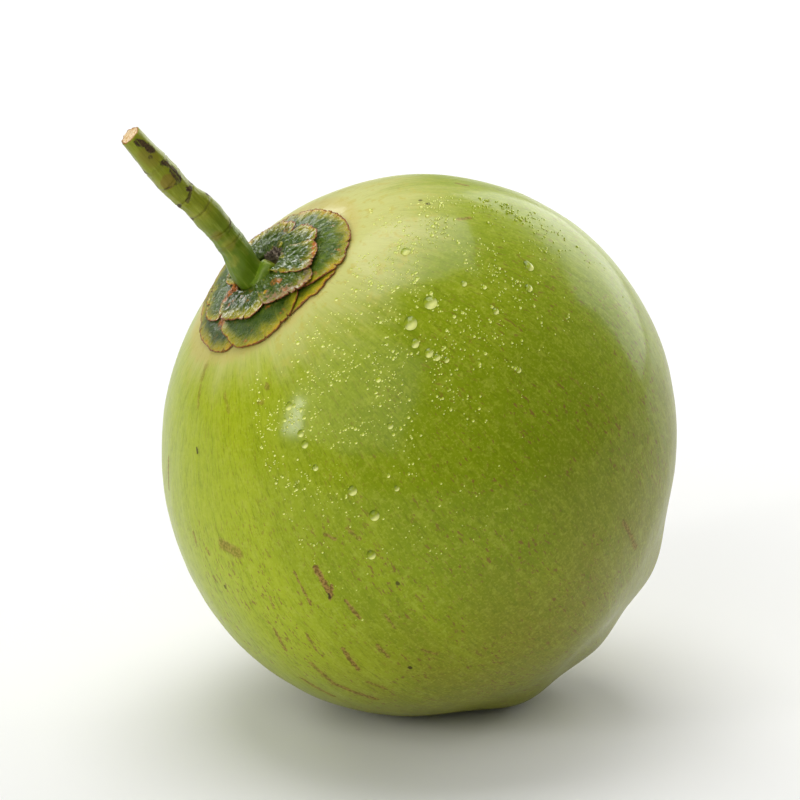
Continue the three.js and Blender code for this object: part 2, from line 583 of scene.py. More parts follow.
# Scratches and rubbed spots on the husk: polar and around of one end, then of the other,
# half the width and the soft edge in millimetres, and the strength.
HUSK_SCARS = (
    (72.7, -116.6, 81.1, -117.5, 0.25, 0.35, 0.75),
    (73.9, -110.9, 80.5, -111.4, 0.8, 0.7, 0.9),
    (79.0, -110.0, 81.5, -112.4, 0.4, 0.4, 0.9),
    (83.5, -109.3, 88.6, -109.4, 0.35, 0.5, 0.8),
    (94.0, -118.6, 100.8, -120.2, 0.55, 0.6, 0.8),
    (96.6, -110.9, 100.9, -111.3, 0.4, 0.5, 0.7),
    (95.0, -129.8, 103.0, -130.5, 0.5, 0.8, 0.6),
    (103.0, -130.5, 112.5, -126.7, 0.6, 0.9, 0.75),
    (105.6, -122.0, 110.0, -120.5, 0.35, 0.6, 0.6),
    (62.6, -135.5, 65.0, -130.5, 1.2, 1.6, 0.55),
    (60.5, -148.5, 62.0, -148.0, 0.5, 0.6, 0.55),
    (63.7, -143.3, 64.6, -143.0, 0.5, 0.5, 0.55),
    (70.3, -144.7, 71.2, -144.5, 0.45, 0.5, 0.55),
    (47.4, -166.2, 54.0, -166.2, 0.5, 1.0, 0.6),
    (33.7, -103.3, 34.4, -103.2, 0.55, 0.7, 0.5),
    (36.3, -108.4, 36.9, -107.0, 0.5, 0.7, 0.45),
    (48.7, 17.5, 50.5, 16.0, 0.6, 0.8, 0.6),
    (46.6, -8.5, 48.8, -6.8, 0.45, 0.7, 0.6),
    (24.6, -146.3, 27.5, -146.0, 0.5, 1.4, 0.4),
    (29.0, -145.5, 33.5, -144.0, 0.2, 1.2, 0.4),
    (31.5, -125.6, 35.5, -123.5, 0.1, 1.2, 0.35),
    (84.0, -132.0, 90.0, -133.5, 0.3, 0.7, 0.7),
    (87.0, -124.0, 92.0, -125.0, 0.2, 0.6, 0.7),
    (100.0, -139.0, 108.0, -137.0, 0.5, 0.9, 0.7),
    (91.0, -104.0, 95.0, -104.5, 0.2, 0.5, 0.6),
    (104.0, -104.0, 107.5, -102.5, 0.25, 0.5, 0.6),
    (76.0, -127.0, 79.0, -127.6, 0.1, 0.5, 0.6),
    (68.5, -104.5, 70.5, -103.0, 0.2, 0.7, 0.7),
    (70.0, -99.0, 73.5, -98.0, 0.15, 0.6, 0.6),
    (88.0, 96.0, 99.0, 97.5, 0.5, 0.7, 0.7),
    (62.0, 61.0, 70.0, 60.0, 0.4, 0.5, 0.6),
    (101.0, 150.0, 108.0, 149.0, 0.8, 0.9, 0.7),
    (118.0, -48.0, 130.0, -46.0, 0.5, 0.8, 0.6),
)
HUSK_DOTS = (
    (42.0, -142.3, 43.0, -141.8, 0.3, 0.3, 0.9),
    (106.7, -109.9, 106.9, -109.9, 0.5, 0.4, 0.9),
    (86.3, -97.0, 86.5, -97.0, 0.45, 0.4, 0.8),
    (39.6, -0.3, 39.8, -0.2, 0.5, 0.4, 0.8),
    (38.0, 2.4, 38.2, 2.4, 0.35, 0.4, 0.7),
    (72.4, -141.4, 72.6, -141.4, 0.5, 0.4, 0.7),
    (80.4, -111.9, 81.2, -112.2, 0.3, 0.3, 0.9),
    (92.0, 40.0, 92.4, 40.0, 0.5, 0.4, 0.8),
)


def as_marks(table):
    """Marks given by their angles, as places in the fruit's frame in millimetres."""
    drawn = []
    for polar, around, other_polar, other_around, width, edge, strength in table:
        start = over_skin(polar, around) / MM
        end = over_skin(other_polar, other_around) / MM
        drawn.append((start, end, width, edge, strength))
    return drawn


# The husk's yellower side and its deeper green side are partly the skin's own tone, and partly
# painted light and painted shade.
YELLOW_AND_LIT_SIDE = (58, -130)  # polar and around of the side where the husk is yellowest
DEEP_AND_SHADED_SIDE = (78, -62)
HALO_SIDE = (90, 0)  # and of the side where the halo reaches furthest

# Shades of the husk besides those in its settings.
OLIVE = srgb(134, 128, 36)
PALE_STREAK = srgb(178, 188, 56)
DARK_FIBRE = srgb(100, 112, 4)
PALE_SPECKLE = srgb(186, 194, 66)
PALE_MOTTLE = srgb(184, 190, 72)
DRY_HALO = srgb(196, 180, 100)
TAN = srgb(186, 174, 74)
FLECK = srgb(128, 92, 40)
PALE_SCAR = srgb(158, 122, 62)
DARK_DOT = srgb(58, 44, 22)
# Painted shade for the skin under the scales.
SHADE_UNDER_SCALES = srgb(44, 42, 20)


def facing(nodes, unit, side):
    """How far the skin at a place faces a side of the fruit."""
    return nodes.vector("DOT_PRODUCT", unit, direction(*side), output="Value")


def husk_halo(nodes, settings, colour, polar, unit, broad, middle, cloud, mottle):
    """Adds the pale halo that runs out from under the scales."""
    edge = nodes.math("SUBTRACT", polar, nodes.math("MULTIPLY", middle, 8.0))
    edge = nodes.math("SUBTRACT", edge, nodes.math("MULTIPLY", broad, 16.0))
    edge = nodes.math("SUBTRACT", edge, nodes.math("MULTIPLY", cloud, 12.0))
    edge = nodes.math("MULTIPLY_ADD", facing(nodes, unit, HALO_SIDE), -17.0, edge)
    halo = nodes.between(edge, 22.0, 3.0)
    colour = nodes.mix(nodes.math("MULTIPLY", halo, 0.92), colour, settings.halo)
    near = nodes.math("ADD", polar, nodes.math("MULTIPLY", middle, -5.0))
    colour = nodes.glaze(colour, DRY_HALO, near, 23.0, 20.5, 0.6)
    patch = nodes.math("MULTIPLY", halo, nodes.between(mottle, 0.52, 0.66, 0.0, 0.6))
    return nodes.mix(patch, colour, TAN)


def husk_flecks(nodes, colour, place, unrolled, polar):
    """Adds small brown flecks, in short runs along the fruit."""
    fleck = streaks(nodes, unrolled, 80.0, 34.0, 2.0)
    worn = patches(nodes, place, 0.05, 0.38, 0.56)
    low_side = nodes.between(polar, 40.0, 80.0, 0.25, 1.0)
    flecks = nodes.math("MULTIPLY", nodes.between(fleck, 0.59, 0.66), worn)
    flecks = nodes.math("MULTIPLY", flecks, low_side)
    return nodes.mix(nodes.math("MULTIPLY", flecks, 0.8), colour, FLECK)


def husk_material(settings):
    material, nodes, shader = new_material("Husk skin")
    place = nodes.attribute("place")
    unrolled, polar = nodes.group(group_called("Unroll Fruit"), {"Place": place})[:2]
    unit = nodes.vector("NORMALIZE", place)

    broad = streaks(nodes, unrolled, 5.0, 1.6, 3.0)
    middle = streaks(nodes, unrolled, 34.0, 6.0, 4.0)
    fine = streaks(nodes, unrolled, 120.0, 26.0, 2.0)
    cloud = nodes.noise(place, 0.022, 3.0, 0.55)
    speckle = nodes.noise(place, 1.1, 2.0, 0.6)
    mottle = nodes.noise(place, 0.3, 3.0, 0.65)

    # The husk is yellower to one side and towards the lower end, and deeper green between. The
    # yellow side is partly the skin's own tone and partly painted light; the deeper green side is
    # partly the skin's own tone and partly painted shade.
    yellow_and_lit = nodes.math(
        "ADD", facing(nodes, unit, YELLOW_AND_LIT_SIDE), nodes.math("MULTIPLY_ADD", cloud, 0.9, -0.45))
    deep_and_shaded = nodes.math(
        "ADD", facing(nodes, unit, DEEP_AND_SHADED_SIDE), nodes.math("MULTIPLY_ADD", broad, 0.7, -0.35))
    lower = nodes.math("ADD", polar, nodes.math("MULTIPLY_ADD", broad, 36.0, -18.0))
    colour = nodes.glaze(settings.skin, settings.light, yellow_and_lit, 0.1, 1.1, 0.7)
    colour = nodes.glaze(colour, settings.deep, deep_and_shaded, 0.35, 1.0, 0.8)
    colour = nodes.glaze(colour, OLIVE, lower, 84.0, 130.0, 0.75)

    # Streaks along the fruit and mottling, lighter and darker than the skin.
    colour = nodes.glaze(colour, PALE_STREAK, middle, 0.5, 0.75, 0.3)
    colour = nodes.glaze(colour, settings.deep, middle, 0.5, 0.25, 0.42)
    colour = nodes.glaze(colour, DARK_FIBRE, fine, 0.5, 0.3, 0.45)
    colour = nodes.glaze(colour, PALE_SPECKLE, speckle, 0.5, 0.66, 0.28)
    colour = nodes.glaze(colour, PALE_MOTTLE, mottle, 0.5, 0.7, 0.22)
    colour = nodes.glaze(colour, settings.deep, mottle, 0.5, 0.3, 0.2)

    colour = husk_halo(nodes, settings, colour, polar, unit, broad, middle, cloud, mottle)
    colour = husk_flecks(nodes, colour, place, unrolled, polar)

    wobble = nodes.math("MULTIPLY_ADD", nodes.noise(place, 0.9, 3.0, 0.65), 2.2, -1.1)
    scar = marks(nodes, place, wobble, as_marks(HUSK_SCARS))
    dot = marks(nodes, place, nodes.math("MULTIPLY", wobble, 0.4), as_marks(HUSK_DOTS))
    scar_colour = nodes.glaze(settings.scar, PALE_SCAR, speckle, 0.42, 0.58)
    colour = nodes.mix(scar, colour, scar_colour)
    colour = nodes.mix(dot, colour, DARK_DOT)

    # Under the scales and round the stalk the skin is darkened with painted shade.
    root = nodes.between(polar, 9.5, 7.0)
    colour = nodes.mix(nodes.math("MULTIPLY", root, 0.85), colour, SHADE_UNDER_SCALES)

    nodes.put(shader.inputs["Base Color"], colour)
    rough = nodes.between(broad, 0.3, 0.7, 0.34, 0.42)
    rough = nodes.math("MULTIPLY_ADD", speckle, 0.06, rough)
    rough = nodes.math("MULTIPLY_ADD", nodes.math("MAXIMUM", scar, dot), 0.3, rough)
    nodes.put(shader.inputs["Roughness"], rough)
    shader.inputs["Coat Weight"].default_value = 0.3
    shader.inputs["Coat Roughness"].default_value = 0.14
    shader.inputs["Specular IOR Level"].default_value = 0.1
    shader.inputs["Specular Tint"].default_value = GLOSS_TINT

    pores = nodes.math("MULTIPLY_ADD", nodes.noise(place, 1.8, 2.0, 0.5), 0.35, fine)
    normal = bump(nodes, pores, 0.06 * MM, 0.55)
    normal = bump(nodes, middle, 0.35 * MM, 0.35, normal)
    nodes.put(shader.inputs["Normal"], normal)
    return material


def unwrap_round(shape, layer):
    """Lays the husk's faces out flat, by the angle about the axis and the angle from it."""
    uv = shape.loops.layers.uv.new("OFBake")
    for face in shape.faces:
        middle = sum((loop.vert[layer] for loop in face.loops), Vector()) / len(face.loops)
        middle_turn = math.atan2(middle.y, middle.x) / math.tau + 0.5
        for loop in face.loops:
            place = loop.vert[layer]
            polar = place.angle(Vector((0, 0, 1)), 0.0) / math.pi
            turn = middle_turn
            if math.hypot(place.x, place.y) > 1e-4 * place.length:
                turn = math.atan2(place.y, place.x) / math.tau + 0.5
            turn += round(middle_turn - turn)
            loop[uv].uv = (lerp(0.004, 0.996, turn), lerp(0.996, 0.004, polar))


class COCONUT_OT_husk(Operator):
    """Builds the husk, a smooth round skin with its pale halo, streaks and scars"""

    bl_idname = "coconut.husk"
    bl_label = "Husk"

    def execute(self, context):
        settings = context.scene.coconut_husk
        spot = 1.2 * MM  # the skin eases on to the resting spot from this height
        bare_to, uneven_from = 18, 30  # polar angles: the skin under the scales is even
        shape = bmesh.new()
        place_layer = shape.verts.layers.float_vector.new("place")
        bmesh.ops.create_uvsphere(shape, u_segments=320, v_segments=200, radius=1)
        for corner in shape.verts:
            way = corner.co.normalized()
            polar = math.degrees(way.angle(Vector((0, 0, 1))))
            around = math.degrees(math.atan2(way.y, way.x))
            swell = noise.fractal(way * 2.6, 0.9, 2.0, 3, noise_basis="PERLIN_ORIGINAL")
            swell *= settings.unevenness * smooth((polar - bare_to) / (uneven_from - bare_to))
            skin = over_skin(polar, around)
            corner[place_layer] = skin / MM
            placed = to_row(skin + way * swell)
            if placed.z < spot:
                placed.z = spot * math.exp(placed.z / spot - 1)
            corner.co = placed
        unwrap_round(shape, place_layer)
        shape.normal_update()
        finish_piece(context, "husk_skin", shape, husk_material(settings), "husk", "husk")
        return {"FINISHED"}


# The dark scars on the stalk: share of its height and angle about it at each end, half the
# width and soft edge in millimetres, and strength.
STALK_SCARS = (
    (0.975, -70, 0.955, -52, 0.8, 0.5, 1.0),
    (0.945, -52, 0.89, -42, 0.8, 0.5, 1.0),
    (0.876, -72, 0.87, -66, 0.3, 0.4, 0.7),
    (0.822, -165, 0.812, -135, 0.35, 0.4, 0.85),
    (0.808, -44, 0.788, -32, 0.7, 0.4, 1.0),
    (0.785, -36, 0.745, -30, 0.35, 0.5, 0.95),
    (0.745, -34, 0.685, -44, 1.0, 0.5, 1.0),
    (0.722, -152, 0.705, -170, 0.6, 0.4, 0.95),
    (0.7, -112, 0.685, -64, 0.2, 0.4, 0.75),
    (0.612, -40, 0.598, -36, 0.75, 0.4, 1.0),
    (0.604, 4, 0.588, 14, 0.7, 0.4, 1.0),
    (0.592, -48, 0.578, -84, 0.4, 0.5, 0.75),
    (0.582, -130, 0.57, -150, 0.55, 0.4, 0.95),
    (0.495, 0, 0.478, 14, 0.65, 0.4, 1.0),
    (0.474, -145, 0.47, -170, 0.4, 0.4, 0.85),
    (0.326, -12, 0.316, -26, 0.4, 0.4, 0.8),
    (0.31, -30, 0.3, -50, 0.15, 0.5, 0.45),
    (0.9, 90, 0.88, 130, 0.9, 0.6, 0.9),
    (0.8, 80, 0.795, 150, 0.6, 0.6, 0.9),
    (0.59, 60, 0.58, 100, 0.5, 0.5, 0.8),
    (0.48, 110, 0.47, 160, 0.5, 0.5, 0.7),
)
STALK_RINGS = (0.8, 0.7, 0.588, 0.48, 0.318, 0.24)  # where they are, as shares of its height
LEAF_SCAR = (0.7215, -83)

# Shades of the stalk besides those in its settings.
PALE_STRAND = srgb(156, 168, 62)
DARK_STRAND = srgb(76, 92, 14)
STALK_TAN = srgb(152, 146, 50)
RING_TAN = srgb(92, 80, 30)
OCHRE = srgb(122, 104, 26)
PALE_RING = srgb(84, 58, 32)
WOOD_GRAIN = srgb(196, 152, 92)
BROWNED_WOOD = srgb(150, 92, 40)


def stalk_material(settings):
    material, nodes, shader = new_material("Stalk skin")
    place = nodes.attribute("place")
    along = nodes.attribute("along", "Fac")
    end_face = nodes.attribute("end_face", "Fac")
    strands = nodes.noise(nodes.vector("MULTIPLY", place, (1.3, 1.3, 0.09)), 1.0, 3.0, 0.6)
    cloud = nodes.noise(place, 0.16, 3.0, 0.55)
    grain = nodes.noise(place, 2.4, 2.0, 0.6)

    low = nodes.math("MULTIPLY_ADD", cloud, 0.3, along)
    colour = nodes.glaze(settings.low, settings.skin, low, 0.3, 0.72)
    colour = nodes.glaze(colour, PALE_STRAND, strands, 0.5, 0.75, 0.5)
    colour = nodes.glaze(colour, DARK_STRAND, strands, 0.48, 0.25, 0.45)
    colour = nodes.glaze(colour, STALK_TAN, cloud, 0.52, 0.72, 0.5)

    wobble = nodes.math("MULTIPLY_ADD", nodes.noise(place, 0.7, 3.0, 0.7), 2.4, -1.2)
    ringed = None
    for ring in STALK_RINGS:
        gap = nodes.math("ABSOLUTE", nodes.math("SUBTRACT", along, ring))
        gap = nodes.math("MULTIPLY_ADD", wobble, 0.004, gap)
        band = nodes.between(gap, 0.014, 0.002)
        ringed = band if ringed is None else nodes.math("MAXIMUM", ringed, band)
    faint = nodes.math("MULTIPLY", ringed, nodes.between(cloud, 0.35, 0.6, 0.05, 0.35))
    colour = nodes.mix(faint, colour, RING_TAN)

    leaf_scar = on_stalk(*LEAF_SCAR)
    ochre = marks(nodes, place, nodes.math("MULTIPLY", wobble, 0.4), [
        (leaf_scar, leaf_scar, 2.3, 0.6, 0.85),
        (on_stalk(0.9, -80), on_stalk(0.86, -70), 1.6, 2.0, 0.5),
        (on_stalk(0.33, -98), on_stalk(0.32, -120), 0.8, 1.4, 0.6),
    ])
    colour = nodes.mix(ochre, colour, OCHRE)
    drawn = [
        (on_stalk(a, b), on_stalk(c, d), width, edge, strength)
        for a, b, c, d, width, edge, strength in STALK_SCARS
    ]
    scar = marks(nodes, place, wobble, drawn)
    scar = nodes.math("MULTIPLY", scar, nodes.between(strands, 0.36, 0.46, 0.35, 1.0))
    scar_colour = nodes.glaze(settings.ring, PALE_RING, grain, 0.4, 0.65)
    colour = nodes.mix(scar, colour, scar_colour)

    # The cut end: pale wood, browned and frayed at its rim.
    pith = nodes.noise(place, 1.1, 3.0, 0.7)
    wood = nodes.glaze(settings.cut, WOOD_GRAIN, pith, 0.38, 0.62)
    browned = nodes.math("MULTIPLY_ADD", wobble, 0.16, end_face)
    wood = nodes.glaze(wood, BROWNED_WOOD, browned, 0.72, 0.42)
    colour = nodes.glaze(colour, wood, browned, 0.1, 0.24)

    nodes.put(shader.inputs["Base Color"], colour)
    rough = nodes.math("MULTIPLY_ADD", scar, 0.25, nodes.between(strands, 0.3, 0.7, 0.36, 0.48))
    rough = nodes.math("MULTIPLY_ADD", end_face, 0.3, rough)
    nodes.put(shader.inputs["Roughness"], rough)
    shader.inputs["Coat Weight"].default_value = 0.12
    shader.inputs["Coat Roughness"].default_value = 0.2
    shader.inputs["Specular Tint"].default_value = GLOSS_TINT
    normal = bump(nodes, strands, 0.4 * MM, 0.45)
    normal = bump(nodes, grain, 0.12 * MM, 0.5, normal)
    normal = bump(nodes, nodes.math("MULTIPLY", scar, -1.0), 0.3 * MM, 0.8, normal)
    nodes.put(shader.inputs["Normal"], normal)
    return material


def join(shape, part):
    """Adds a part to a shape and lets the part go."""
    mesh = bpy.data.meshes.new("part")
    part.to_mesh(mesh)
    part.free()
    shape.from_mesh(mesh)
    bpy.data.meshes.remove(mesh)


BAR_ROWS = 190
# The stalk before it is bent, as shares of its radius and height: its side, a rounded lip, then
# the cut face, which sinks a little to its middle.
BAR_PROFILE = (
    (0, 0), *((1, row / BAR_ROWS) for row in range(BAR_ROWS + 1)),
    (0.985, 1.0035), (0.95, 1.006), (0.88, 1.007), (0.7, 1.0055),
    (0.5, 1.004), (0.3, 1.003), (0.12, 1.003), (0, 1.003),
)
BAR_LENGTH = 70 * MM  # what a height of one is worth past the cut
# The same for the spur, which has a blunt rounded end.
SPUR_PROFILE = (
    (0, 0), (1, 0), *((1.0 - 0.12 * (row / 16) ** 2, row / 16) for row in range(1, 15)),
    (0.88, 0.9), (0.8, 0.97), (0.66, 1.0), (0.4, 0.99), (0.15, 0.97), (0, 0.965),
)


def lathe(shape, profile, steps):
    """Spins a line of points, each a distance from the Z axis and a height, into a body."""
    corners = [shape.verts.new((radius, 0, height)) for radius, height in profile]
    edges = [shape.edges.new(pair) for pair in zip(corners, corners[1:])]
    bmesh.ops.spin(
        shape, geom=corners + edges, cent=(0, 0, 0), axis=(0, 0, 1), dvec=(0, 0, 0),
        angle=math.tau, steps=steps, use_merge=True, use_duplicate=False)
    bmesh.ops.remove_doubles(shape, verts=shape.verts, dist=1e-6)
    bmesh.ops.recalc_face_normals(shape, faces=shape.faces)


class COCONUT_OT_stalk(Operator):
    """Builds the stalk with its rings and cut end, and the short spur at its foot"""

    bl_idname = "coconut.stalk"
    bl_label = "Stalk"

    def execute(self, context):
        settings = context.scene.coconut_stalk
        shape = bmesh.new()
        layers = shape.verts.layers
        layers.float_vector.new("place")
        layers.float.new("along")
        layers.float.new("end_face")
        self.add_bar(shape, settings)
        self.add_spur(shape)
        shape.normal_update()
        finish_piece(context, "stalk_bar", shape, stalk_material(settings), "stalk", "stalk")
        return {"FINISHED"}

    def swelling(self, along, turn, ring_height):
        """How far the stalk's side stands out: lumps, ribs along it, and a ridge at each ring."""
        cos, sin = math.cos(turn), math.sin(turn)
        lump = noise.noise(Vector((cos * 1.1, sin * 1.1, along * 9)))
        rib = noise.noise(Vector((cos * 4, sin * 4, along * 3 + 7)))
        swell = 0.32 * MM * lump + 0.16 * MM * rib
        for ring in STALK_RINGS:
            gap = along - ring - 0.008 * math.cos(turn + 9 * ring)
            swell += ring_height * (bell(gap, 0.022) - 1.6 * bell(gap, 0.005))
        return swell

    def add_bar(self, shape, settings):
        bar = bmesh.new()
        place_key = bar.verts.layers.float_vector.new("place")
        along_key = bar.verts.layers.float.new("along")
        end_key = bar.verts.layers.float.new("end_face")
        lathe(bar, BAR_PROFILE, 72)
        for corner in bar.verts:
            out = math.hypot(corner.co.x, corner.co.y)
            turn = math.atan2(corner.co.y, corner.co.x)
            along = min(corner.co.z, 1.0)
            middle, across, other = stalk_frame(along)
            side = across * math.cos(turn) + other * math.sin(turn)
            swell = self.swelling(along, turn, settings.ring_height)
            if out > 0.9 and along > 0.99:  # the frayed lip of the cut
                swell += 0.12 * MM * noise.noise(Vector((turn * 5, 0.5, 3.0)))
            past_cut = max(corner.co.z - 1.0, 0.0) * BAR_LENGTH
            if corner.co.z > 0.999:
                chip = noise.noise(Vector((corner.co.x * 4, corner.co.y * 4, 1.5)))
                past_cut += 0.35 * MM * chip
            point = middle + side * out * (stalk_radius(along) + swell)
            point += across.cross(other) * past_cut
            corner[place_key] = point / MM
            corner[along_key] = along
            corner[end_key] = smooth((1.02 - out) / 0.3) if corner.co.z > 1.0001 else 0.0
            corner.co = to_row(point)
        join(shape, bar)

    def add_spur(self, shape):
        spur = bmesh.new()
        place_key = spur.verts.layers.float_vector.new("place")
        along_key = spur.verts.layers.float.new("along")
        spur.verts.layers.float.new("end_face")
        lathe(spur, SPUR_PROFILE, 48)
        way = (SPUR_TOP - SPUR_FOOT).normalized()
        up = (Vector((0, 0, 1)) - way * way.z).normalized()
        side = way.cross(up)
        for corner in spur.verts:
            lump = 1 + 0.08 * noise.noise(corner.co * 2.2)
            flat = side * corner.co.x + up * corner.co.y
            point = (SPUR_FOOT.lerp(SPUR_TOP, corner.co.z) + flat * (SPUR_RADIUS * lump)) * MM
            corner[place_key] = point / MM
            corner[along_key] = 0.4 * smooth((corner.co.z - 0.85) / 0.12)
            corner.co = to_row(point)
        join(shape, spur)


# Each leaf of a scale: its rim as angle about the axis, distance from it and height over the
# skin in millimetres, then its height in the middle, how crumpled it is and how dried out.
LEAVES = {
    "lower_scale_1": [
        ([(207, 17, 1.8), (215, 23.4, 1.8), (228, 26.9, 1.7), (235, 29.5, 1.5),
          (240, 31.4, 1.3), (248, 32.8, 1.0), (254, 33.4, 0.9), (260, 34.0, 0.9),
          (266, 33.6, 0.9), (272, 33.2, 1.0), (280, 32.2, 1.2), (286, 30.7, 1.4),
          (292, 28.4, 1.6), (298, 25.0, 1.8), (303, 20, 1.9)], 2.0, 0.25, 0.15),
    ],
    "lower_scale_2": [
        ([(287, 21, 1.6), (291, 25, 1.6), (294, 27.4, 1.6), (301, 29.7, 1.6),
          (308, 31.7, 1.5), (316, 33.9, 1.1), (323, 34.6, 0.9), (330, 34.2, 0.9),
          (337, 33.8, 0.9), (348, 32.2, 1.0), (364, 29.8, 1.1), (378, 27.6, 1.3),
          (397, 26.2, 1.5), (409, 25.4, 1.7), (425, 25.2, 1.9), (440, 24.6, 2.0),
          (452, 21.5, 2.0), (460, 17, 2.0)], 1.8, 0.5, 0.35),
        ([(258, 26, 0.6), (264, 31.0, 0.6), (274, 32.4, 0.6), (286, 32.3, 0.7),
          (295, 32.5, 0.7), (297, 33.4, 0.7), (302, 34.2, 0.7), (308, 34.0, 0.7),
          (313, 34.2, 0.6), (319, 33.0, 0.6), (325, 29, 0.6), (330, 22, 0.6)], 0.8, 0.1, 0.3),
    ],
    "lower_scale_3": [
        ([(118, 24, 1.0), (125, 29, 1.4), (140, 30.5, 1.4), (160, 29.5, 1.0),
          (173, 28.6, 0.8), (179, 29.2, 0.8), (193, 29.6, 0.8), (204, 30.0, 0.8),
          (212, 30.9, 0.8), (220, 31.3, 0.8), (229, 31.4, 0.7), (236, 30, 0.6),
          (248, 26, 0.6), (258, 20, 0.6)], 1.0, 0.2, 0.05),
        ([(74, 18, 1.8), (84, 23, 2.0), (94, 26, 2.2), (110, 28.4, 2.3), (125, 29.2, 2.2),
          (133, 29.0, 2.1), (142, 27.6, 1.9), (154, 26.2, 1.9), (167, 25.5, 1.8),
          (182, 24.8, 1.7), (193, 23.1, 1.7), (200, 21.5, 1.7), (207, 17, 1.7)],
         2.0, 0.3, 0.2),
    ],
    "upper_scale_1": [
        ([(170, 13, 2.6), (178, 14.5, 2.7), (184, 16, 2.8), (190, 17.6, 2.8),
          (196, 18.8, 2.8), (203, 20.4, 2.8), (209, 21.0, 2.8), (221, 21.3, 2.8),
          (236, 21.7, 2.8), (244, 22.7, 2.8), (249, 23.4, 2.8), (255, 23.7, 2.8),
          (261, 23.1, 2.9), (266, 21.2, 2.9), (272, 17, 2.9), (277, 13, 2.8)],
         3.0, 0.6, 0.15),
    ],
    "upper_scale_2": [
        ([(262, 17, 3.0), (267, 22.0, 3.1), (272, 23.5, 3.1), (280, 25.3, 3.1),
          (288, 27.2, 2.9), (295, 29.0, 2.7), (302, 29.4, 2.6), (307, 28.6, 2.7),
          (311, 26.0, 2.9), (318, 20.7, 3.1), (326, 17.5, 3.1), (335, 15.3, 3.0),
          (342, 12, 2.8)], 3.3, 1.1, 0.75),
        ([(296, 13, 3.4), (304, 22.5, 3.7), (310, 26.4, 3.6), (318, 25.6, 3.5),
          (325, 25.4, 3.5), (331, 24.2, 3.6), (338, 21, 3.7), (343, 17, 3.7),
          (348, 13, 3.6)], 3.9, 1.0, 0.55),
    ],
    "upper_scale_3": [
        ([(325, 13, 3.0), (333, 18, 3.2), (340, 21.6, 3.3), (350, 22.2, 3.3),
          (362, 20.6, 3.3), (377, 19.0, 3.3), (388, 16.8, 3.2), (396, 12.5, 3.0)],
         3.5, 0.9, 0.4),
        ([(22, 11, 2.8), (38, 17.7, 3.2), (48, 18.9, 3.4), (68, 19.8, 3.6),
          (85, 20.5, 3.7), (100, 21.3, 3.6), (115, 21, 3.2), (130, 19.4, 2.9),
          (150, 17, 2.7), (163, 13, 2.6)], 3.1, 0.9, 0.3),
    ],
}


def along_rim(points, share):
    """The angle, distance and height on a leaf's rim, a smooth curve through its points."""
    turn = lerp(points[0][0], points[-1][0], share)
    step = 0
    while step < len(points) - 2 and turn > points[step + 1][0]:
        step += 1
    start, end = points[step], points[step + 1]
    before = points[max(step - 1, 0)]
    after = points[min(step + 2, len(points) - 1)]
    part = (turn - start[0]) / (end[0] - start[0])
    values = []
    for i in (1, 2):
        width = end[0] - start[0]
        slope_in = (end[i] - before[i]) / max(end[0] - before[0], 1e-6) * width
        slope_out = (after[i] - start[i]) / max(after[0] - start[0], 1e-6) * width
        p2, p3 = part * part, part * part * part
        values.append(
            (2 * p3 - 3 * p2 + 1) * start[i] + (p3 - 2 * p2 + part) * slope_in
            + (3 * p2 - 2 * p3) * end[i] + (p3 - p2) * slope_out)
    return turn, values[0], values[1]


def torn(nick, way, shift, dryness):
    """How far a leaf's nicked and torn rim stands out or in, in millimetres."""
    small = noise.noise(way * 30 + shift)
    fine = noise.noise(way * 52 + shift)
    reach = 0.45 * nick + 0.25 * small - 1.6 * smooth((small - 0.4) / 0.1)
    return reach + (0.16 + 0.5 * dryness) * fine


def lifted(flat, turn, share, crumple, shift, seed):
    """How far folds, creases and veins lift a leaf's face, in millimetres."""
    spot = Vector((flat.x, flat.y, 0)) * 0.17 + shift
    fold = noise.fractal(spot, 0.8, 2.1, 4, noise_basis="PERLIN_ORIGINAL")
    crease = max(1 - abs(noise.noise(spot * 1.7 + shift)) * 5, 0.0)
    fine_crease = max(1 - abs(noise.noise(spot * 4.1)) * 4, 0.0)
    vein = noise.noise(Vector((turn * 0.35, share * 0.8, seed)))
    lift = crumple * (0.9 * fold + 0.7 * crease + 0.3 * fine_crease) + 0.12 * vein
    return lift * smooth(share / 0.15) * (1 - 0.6 * share)


LEAF_ROWS = 34
LEAF_COLUMNS_PER_DEGREE = 1.7


